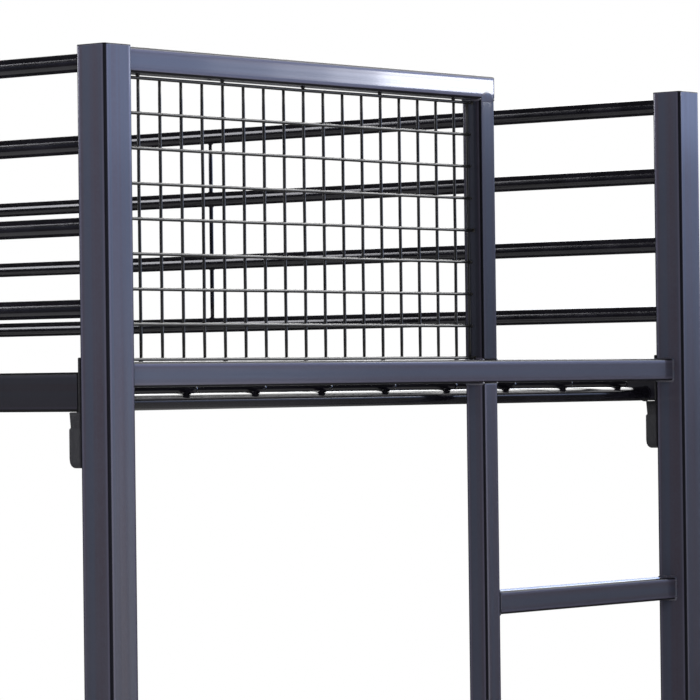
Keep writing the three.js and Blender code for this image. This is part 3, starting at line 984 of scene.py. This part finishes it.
def add_bracket(bunk, end, side, sign):
    """A moulded bracket: round-cornered sections of changing thickness, one above the other.

    A thin plate lies on the post beside the rail. Below the rail it thickens to a lug with a
    waist and a round foot, and this part is marked in the light mask, which makes it a little
    lighter and smoother. A row is a section's height, thickness and inset in millimetres: it
    reaches from the post's face by its thickness, and across the post's width less the inset at
    both sides.
    """
    node = f"rail_bracket_{bunk}_{end}_{side}"
    low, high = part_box(node)
    rail = f"side_rail_{bunk}_{side}"
    rail_low, rail_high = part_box(rail)
    face, rail_end = (high.x, rail_high.x) if sign > 0 else (low.x, rail_low.x)
    plate = abs(rail_end - face) / MM
    foot, sill, top = low.z / MM, rail_low.z / MM, high.z / MM
    lug = (
        (foot, 0.0, 1.0),
        (foot, 8.5, 1.0),
        (foot + 0.5, 10.2, 0.4),
        (foot + 2.2, 12.6, 0.0),
        (foot + 5.0, 14.3, 0.0),
        (foot + 9.0, 15.0, 0.0),
        (sill - 17.3, 15.0, 0.0),
        (sill - 16.7, 14.7, 0.0),
    )
    waist_and_plate = (
        (sill - 15.4, 13.2, 0.0),
        (sill - 14.6, 13.0, 0.0),
        (sill - 1.2, 14.4, 0.0),
        (sill - 0.6, 14.2, 0.2),
        (sill - 0.4, 13.6, 0.4),
        (sill - 0.4, plate + 0.4, 0.4),
        (sill - 0.1, plate, 0.0),
        (top - 0.8, plate, 0.0),
        (top - 0.2, plate - 0.3, 0.3),
        (top, plate - 0.9, 0.8),
        (top, 0.0, 0.8),
    )
    _, (_, width), (_, middle) = cross_box(f"post_{end}_{side}", "Z")
    rings = []
    for height, thick, inset in lug + waist_and_plate:
        radius = min(0.9, thick * 0.45) * MM
        support = min(1.0, thick * 0.05) * MM
        section = square_section(thick * MM, width - 2 * inset * MM, radius, 4, support)[0]
        x = face - sign * (section[:, 0] + thick * MM / 2)
        rings.append(np.column_stack([x, section[:, 1] + middle, np.full(len(x), height * MM)]))
    body = stack_rings(rings, np.repeat([1.0, 0.0], [len(lug), len(waist_and_plate)]))
    spigot = spigot_skin(rail, face, plate * MM, sign)
    add_piece(f"{node}_moulding", join_skins([body, spigot]), "bracket", node)


def spigot_skin(rail, face, plate, sign):
    """The stub that the side rail slides over."""
    gap = 1.8 * MM
    reach = 24.0 * MM
    _, size, middle = cross_box(rail, "X")
    width, height = size[0] - 2 * gap, size[1] - 2 * gap
    start = face - sign * plate * 0.5
    stop = face - sign * (plate + reach)
    spots = [start, start, stop + sign * 2 * MM, stop + sign * 0.5 * MM, stop, stop]
    rings = []
    for x, scale in zip(spots, (0.02, 1.0, 1.0, 0.97, 0.9, 0.02)):
        corner, support = 1.2 * MM * scale, 0.5 * MM * scale
        section = square_section(width * scale, height * scale, corner, 4, support)[0]
        rings.append(np.column_stack([np.full(len(section), x), section + middle]))
    for ring in (rings[0], rings[-1]):
        ring[:] = ring.mean(axis=0)
    return stack_rings(rings)


class BED_OT_side_rails(bpy.types.Operator):
    """Makes the four side rails and their brackets"""

    bl_idname = "bed.side_rails"
    bl_label = "Side rails"

    def execute(self, context):
        for bunk in BUNKS:
            for side in SIDES:
                node = f"side_rail_{bunk}_{side}"
                add_tube(node, "X", "side", "side")
                for end, sign in ENDS.items():
                    add_bracket(bunk, end, side, sign)
        return {"FINISHED"}


# Depth and pitch of the ripples in the beads round the round tubes
ROUND_RIPPLES = (0.10, 2.2 * MM)


def add_tie(side, end):
    """A tie rod with a small flare of weld at each guard rail that it meets."""
    node = f"guard_tie_{side}_{end}"
    low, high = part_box(node)
    middle = (low + high) / 2
    radius = (high.x - low.x) / 2
    path = np.linspace((middle.x, middle.y, low.z), (middle.x, middle.y, high.z), 12)
    skins = [capsule_skin(path, radius, ROD_SIDES)]
    flare = radius * 1.5
    for i in GUARD_ROWS:
        rail_low, rail_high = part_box(f"guard_rail_{side}_{i}")
        for z in (rail_low.z, rail_high.z):
            if low.z - MM < z < high.z + MM:
                spot = (middle.x, middle.y, z)
                skins.append(blob_skin(spot, (flare, flare, 1.3 * MM), 16, 8))
    add_piece(f"{node}_rod", join_skins(skins), "guard", node)


class BED_OT_guard_rails(bpy.types.Operator):
    """Makes the round guard rails, their tie rods and the welds round them"""

    bl_idname = "bed.guard_rails"
    bl_label = "Guard rails"

    def execute(self, context):
        legs = [context.scene.bed_welds.ring] * 4
        for side in SIDES:
            rings = []
            for i in GUARD_ROWS:
                node = f"guard_rail_{side}_{i}"
                add_tube(node, "X", "round", "guard")
                ends, size, middle = cross_box(node, "X")
                section = round_section(size[1], ROUND_SIDES)
                for place in ends:
                    spot, phase = (*middle, place), 40 * place + i
                    rings.append(bead_skin("X", spot, section, legs, *ROUND_RIPPLES, phase))
            skin = join_skins(rings)
            add_piece(f"guard_welds_{side}", skin, "weld")
            for end in ENDS:
                add_tie(side, end)
        return {"FINISHED"}


# The decks' numbers of tubes and rods, the outer tubes' distance from the ends, and the welds
CROSS_TUBES = 5
RODS = 9
DECK_SETBACK = 12.0 * MM
DECK_BEAD = 1.6 * MM
ROD_WELD = (2.8 * MM, 1.6 * MM, 1.2 * MM)


def deck_skin(node, sizes, wires):
    """Cross tubes, rods lying on them, and a spot of weld on both sides of each crossing."""
    low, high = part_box(node)
    radius = wires.rod / 2
    plane = high.z - wires.rod
    tube_middle = low.z + wires.cross / 2
    spots = np.linspace(low.x + DECK_SETBACK, high.x - DECK_SETBACK, CROSS_TUBES)
    section = round_section(wires.cross, CROSS_SIDES)
    wall, edge = sizes.round_wall, sizes.cut_edge
    legs = [DECK_BEAD] * 4
    skins = []
    for x in spots:
        middle = (x, tube_middle)
        skins.append(tube_skin("Y", section, middle, low.y, high.y, wall, edge))
        for y in (low.y, high.y):
            skins.append(bead_skin("Y", (*middle, y), section, legs, *ROUND_RIPPLES, 50 * x))
    for y in (np.arange(RODS) - RODS // 2) * wires.rod_pitch:
        path = np.linspace((low.x, y, plane + radius), (high.x, y, plane + radius), 20)
        skins.append(capsule_skin(path, radius, ROD_SIDES))
        for x in spots:
            for way in (-1, 1):
                centre = (x, y + way * radius * 0.75, plane + 0.5 * MM)
                skins.append(blob_skin(centre, ROD_WELD, 8, 6))
    return join_skins(skins)


class BED_OT_decks(bpy.types.Operator):
    """Makes the two decks of cross tubes and lengthwise rods"""

    bl_idname = "bed.decks"
    bl_label = "Decks"

    def execute(self, context):
        for bunk in BUNKS:
            node = f"deck_{bunk}"
            skin = deck_skin(node, context.scene.bed_tubes, context.scene.bed_wires)
            add_piece(f"{node}_grille", skin, "deck", node)
        return {"FINISHED"}


# ---- Studio ----


def facing(place, target, roll=0.0):
    """The place and turn of something that looks from a place to a target, rolled in degrees."""
    place = Vector(place)
    turn = (Vector(target) - place).to_track_quat("-Z", "Y")
    turn = turn @ Quaternion((0.0, 0.0, 1.0), math.radians(roll))
    return Matrix.LocRotScale(place, turn, None)


CAMERA_PLACE = (3.57468, -3.21879, 1.32452)
CAMERA_TARGET = (0.367206, 0.61664, 1.364376)
CAMERA_ROLL = -0.69901
FLOOR_HALF = 6.0
LAMP_SIDE = 1.2
KEY_AIM = ((2.2, -1.7, 1.6), (0.95, -0.3, 1.1))
FILL_AIM = ((-3.2, 2.6, 2.4), (0.0, 0.0, 0.9))
CARD_TINT = (0.94, 0.94, 1.0)
GUARD_CARD = ("guard_card", (-3.75, -3.0, 3.1), (-3.75, 0.0, 3.1), (2.5, 2.4), 0.9)
# Each strip's Y, width and share of the cards' brightness. They stand on one level, on the line
# X = start - slope * Y, and face one way.
STRIPS = ((1.97, 0.14, 0.07), (2.093, 0.12, 0.18), (2.204, 0.11, 0.38), (2.402, 0.30, 1.2))
STRIP_LEVEL = 1.90
STRIP_HEIGHT = 0.12
STRIP_START = 3.522752
STRIP_SLOPE = 0.282
STRIP_FACING = (0.957, 0.29)
# How bright the parts of the mirrored room are
DIM, RIGHT_GLOW, LEFT_GLOW, WINDOW_GLOW, GROUND_GLOW = 0.03, 0.61, 0.1, 5.0, 0.6
WHITE = (1.0, 1.0, 1.0, 1.0)
HORIZON_TINT = (0.70, 0.90, 1.50, 1.0)


def set_camera(scene, studio):
    """The camera stands far off the ladder end's front corner, level with the upper bunk."""
    lens = bpy.data.cameras.new("camera")
    lens.lens = studio.focal
    lens.sensor_width = 36.0
    lens.clip_end = 100.0
    stand = bpy.data.objects.new("camera", lens)
    stand.matrix_world = facing(CAMERA_PLACE, CAMERA_TARGET, CAMERA_ROLL)
    scene.collection.objects.link(stand)
    scene.camera = stand


def set_floor(studio):
    """A pale floor with a faint cloudiness."""
    spots = (-FLOOR_HALF, FLOOR_HALF)
    grid = np.array([[(x, y, 0.0) for y in spots] for x in spots])
    floor = put_mesh("floor", grid_skin(grid, False, False))
    coat = new_coat("pale_floor")
    cloud = coat.noise(coat.place(), 1.5)
    colour = studio.floor_colour
    base = coat.blend(cloud, shade(colour, 0.98), shade(colour, 1.02))
    material = coat.finish({"Base Color": base, "Roughness": 0.6, "Specular IOR Level": 0.2})
    floor.data.materials.append(material)
    floor.visible_glossy = False


def set_sky(scene, studio):
    """White for the camera and through clear things, and soft light from above for the paint.

    Mirrored rays see a room: dim behind the camera and on the left, bright on the right and
    brightest towards the back, where its foot is dark, with a high window, a cool horizon, a
    dark ceiling, and a pale ground in front of the bed.
    """
    scene.world = bpy.data.worlds.new("studio")
    coat = Coat(scene.world)
    way = coat.node("ShaderNodeTexCoord", output="Generated")
    split = coat.node("ShaderNodeSeparateXYZ", None, {0: way}).socket.node
    x, y, z = (Field(coat, output) for output in split.outputs)
    ray = coat.node("ShaderNodeLightPath").socket.node
    kinds = ("Glossy", "Camera", "Transmission")
    glossy, seen, through = (Field(coat, ray.outputs[f"Is {kind} Ray"]) for kind in kinds)

    def towards(bearing):
        turn = math.radians(bearing)
        return x * math.cos(turn) + y * math.sin(turn)

    right = towards(61.5).smooth(0.28, 0.45)
    left = towards(-150.0).smooth(0.90, 0.97)
    far = towards(90.0).smooth(0.752, 0.778)
    notch = far * (1 - z.smooth(-0.02, 0.05))
    foot = 1 - (0.25 + 0.7 * far) * (0 - z).smooth(0.0, 0.12)
    band = RIGHT_GLOW * (1 + (0.60 + 1.1 * far) * z.smooth(0.050, 0.066))
    below_ceiling = 1 - 0.85 * z.smooth(0.45, 0.60)
    window = towards(85.0).smooth(0.50, 0.70) * z.smooth(0.22, 0.32)
    window = window * (1 - z.smooth(0.62, 0.68))
    ground = (0 - y).smooth(-0.05, 0.15) * (0 - z).smooth(0.36, 0.44)
    sides = band * right * (1 - 0.75 * notch) * foot + LEFT_GLOW * left
    room = DIM + sides * below_ceiling + WINDOW_GLOW * window + GROUND_GLOW * ground
    overhead = studio.sky * (0.55 + 3.6 * z.smooth(0.45, 0.85))
    strength = glossy * room + (1 - glossy) * overhead
    strength = strength * (1 - seen) * (1 - through) + seen + through
    horizon = glossy * z.smooth(-0.08, 0.06) * (1 - z.smooth(0.12, 0.22))
    tint = coat.blend(horizon, WHITE, HORIZON_TINT)
    shader = coat.node("ShaderNodeBackground", None, {"Color": tint, "Strength": strength})
    coat.node("ShaderNodeOutputWorld", None, {"Surface": shader})


def set_lamps(scene, studio):
    """Two large soft lamps that the gloss doesn't see, and cards that only the gloss sees.

    The lamps stand off the ladder end's front corner and behind the bed. A card on the left is
    for the far guard rails, and a row of strips, brighter towards the back, for the top rail.
    """
    for name, (place, target), power in (
        ("key", KEY_AIM, studio.key),
        ("fill", FILL_AIM, studio.fill),
    ):
        lamp = add_lamp(scene, name, place, target, (LAMP_SIDE, LAMP_SIDE))
        lamp.data.energy = power
        lamp.visible_glossy = False
    cards = [GUARD_CARD]
    for i, (y, width, strength) in enumerate(STRIPS):
        x = STRIP_START - STRIP_SLOPE * y
        target = (x - STRIP_FACING[0], y - STRIP_FACING[1], STRIP_LEVEL)
        size = (width, STRIP_HEIGHT)
        cards.append((f"rail_card_{i + 1}", (x, y, STRIP_LEVEL), target, size, strength))
    for name, place, target, size, strength in cards:
        card = add_lamp(scene, name, place, target, size)
        card.data.energy = studio.card * strength * 4 * size[0] * size[1]
        card.data.color = CARD_TINT
        card.visible_diffuse = False


def add_lamp(scene, name, place, target, size):
    """A rectangular lamp that the camera doesn't see."""
    light = bpy.data.lights.new(name, "AREA")
    light.shape = "RECTANGLE"
    light.size, light.size_y = size
    stand = bpy.data.objects.new(name, light)
    stand.matrix_world = facing(place, target)
    stand.visible_camera = False
    scene.collection.objects.link(stand)
    return stand


class BED_OT_studio(bpy.types.Operator):
    """Sets the floor, the soft light and the camera"""

    bl_idname = "bed.studio"
    bl_label = "Studio"

    def execute(self, context):
        studio = context.scene.bed_studio
        set_camera(context.scene, studio)
        set_floor(studio)
        set_sky(context.scene, studio)
        set_lamps(context.scene, studio)
        context.scene.view_settings.view_transform = "Standard"
        return {"FINISHED"}


class BED_PT_panel(bpy.types.Panel):
    """Lists the steps that build the bed"""

    bl_label = "Bunk bed"
    bl_idname = "BED_PT_panel"
    bl_space_type = "VIEW_3D"
    bl_region_type = "UI"
    bl_category = "Bunk bed"

    def draw(self, context):
        for group in GROUPS:
            box = self.layout.box()
            settings = getattr(context.scene, group)
            for name in type(settings).__annotations__:
                box.prop(settings, name)
        for step in STEPS:
            self.layout.operator(step.bl_idname)


GROUPS = {
    "bed_tubes": BedTubes,
    "bed_welds": BedWelds,
    "bed_wires": BedWires,
    "bed_paint": BedPaint,
    "bed_studio": BedStudio,
}
STEPS = (
    BED_OT_posts,
    BED_OT_end_frames,
    BED_OT_welds,
    BED_OT_wire_panels,
    BED_OT_side_rails,
    BED_OT_guard_rails,
    BED_OT_decks,
    BED_OT_studio,
)


def register():
    """Registers the settings, the steps and the panel."""
    for name, group in GROUPS.items():
        bpy.utils.register_class(group)
        setattr(bpy.types.Scene, name, bpy.props.PointerProperty(type=group))
    for step in STEPS + (BED_PT_panel,):
        bpy.utils.register_class(step)


def unregister():
    """Takes them away again."""
    for step in reversed(STEPS + (BED_PT_panel,)):
        bpy.utils.unregister_class(step)
    for name, group in reversed(GROUPS.items()):
        delattr(bpy.types.Scene, name)
        bpy.utils.unregister_class(group)


def main():
    """Builds the bed step by step."""
    register()
    for step in STEPS:
        area, action = step.bl_idname.split(".")
        getattr(getattr(bpy.ops, area), action)()
    bpy.context.view_layer.update()


if __name__ == "__main__":
    main()
